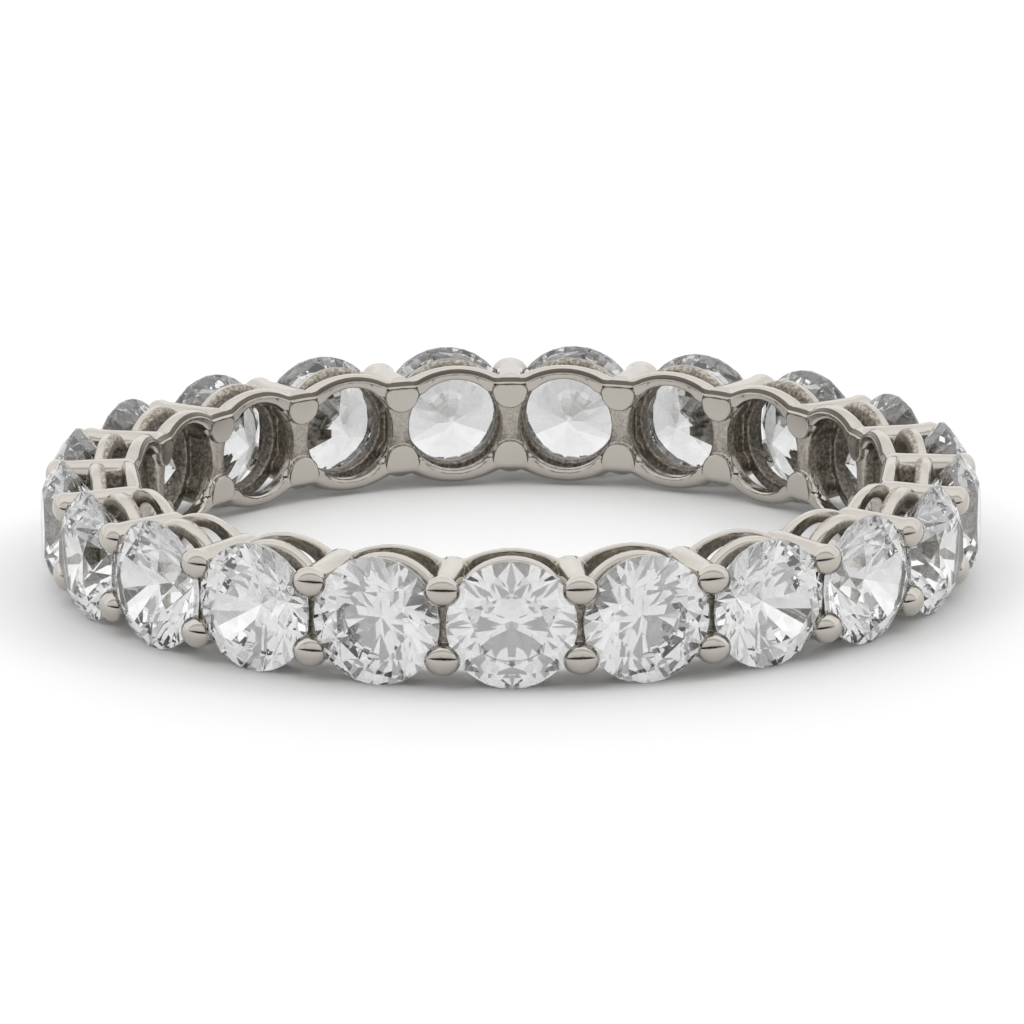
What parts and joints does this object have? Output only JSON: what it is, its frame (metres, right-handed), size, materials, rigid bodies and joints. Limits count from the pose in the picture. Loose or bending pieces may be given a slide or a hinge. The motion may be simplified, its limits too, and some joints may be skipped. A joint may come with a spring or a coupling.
{
  "type": "eternity ring",
  "caption": "Full eternity ring: round brilliant stones set edge to edge in shared claws on a scalloped, two-rail cast white-metal band, open at the finger hole.",
  "frame": {"origin": "on the ring's axis, in the plane that the ring lies on", "axes": "+Z along the ring's axis and up, -Y from the axis to the middle of stone_01, X to the right seen from -Y"},
  "size_m": [0.0212, 0.0212, 0.0029],
  "materials": {
    "white_metal": "cast, polished on the rails, feet and beads, left as cast in the slot and under the stones",
    "gem": "colourless, faceted and polished"
  },
  "bodies": {
    "root": {"setting": "white_metal", "stone_01": "gem", "stone_02": "gem", "stone_03": "gem", "stone_04": "gem", "stone_05": "gem", "stone_06": "gem", "stone_07": "gem", "stone_08": "gem", "stone_09": "gem", "stone_10": "gem", "stone_11": "gem", "stone_12": "gem", "stone_13": "gem", "stone_14": "gem", "stone_15": "gem", "stone_16": "gem", "stone_17": "gem", "stone_18": "gem", "stone_19": "gem", "stone_20": "gem", "stone_21": "gem"}
  },
  "joints": []
}
